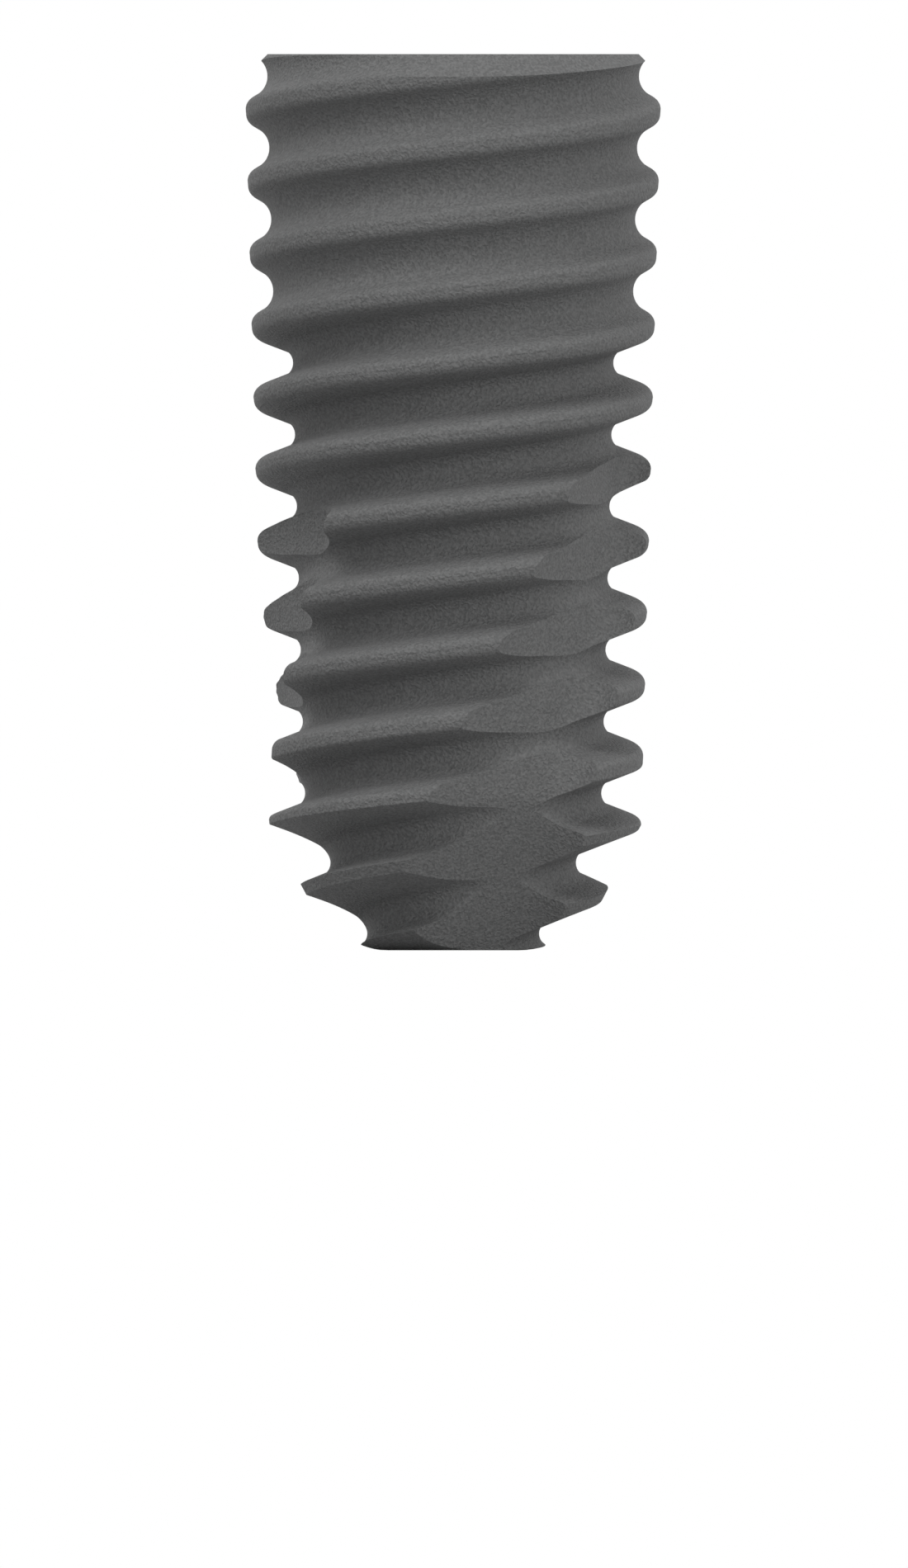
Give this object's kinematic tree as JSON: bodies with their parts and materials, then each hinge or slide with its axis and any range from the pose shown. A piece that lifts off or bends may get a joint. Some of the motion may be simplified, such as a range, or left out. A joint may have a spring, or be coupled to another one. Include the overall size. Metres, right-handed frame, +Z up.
{
  "type": "dental implant",
  "caption": "Tapered root-form screw with a double-start thread, cutting flutes at its rounded apex and a flat platform that opens into a hexagonal socket with a screw bore.",
  "frame": {"origin": "centre of the flat apex face", "axes": "+Z up the screw's axis from the apex to the platform; -Y is the side that the picture shows"},
  "size_m": [0.0046, 0.0046, 0.01],
  "materials": {
    "titanium": "matt, blasted and etched titanium"
  },
  "bodies": {
    "root": {"implant_body": "titanium"}
  },
  "joints": []
}
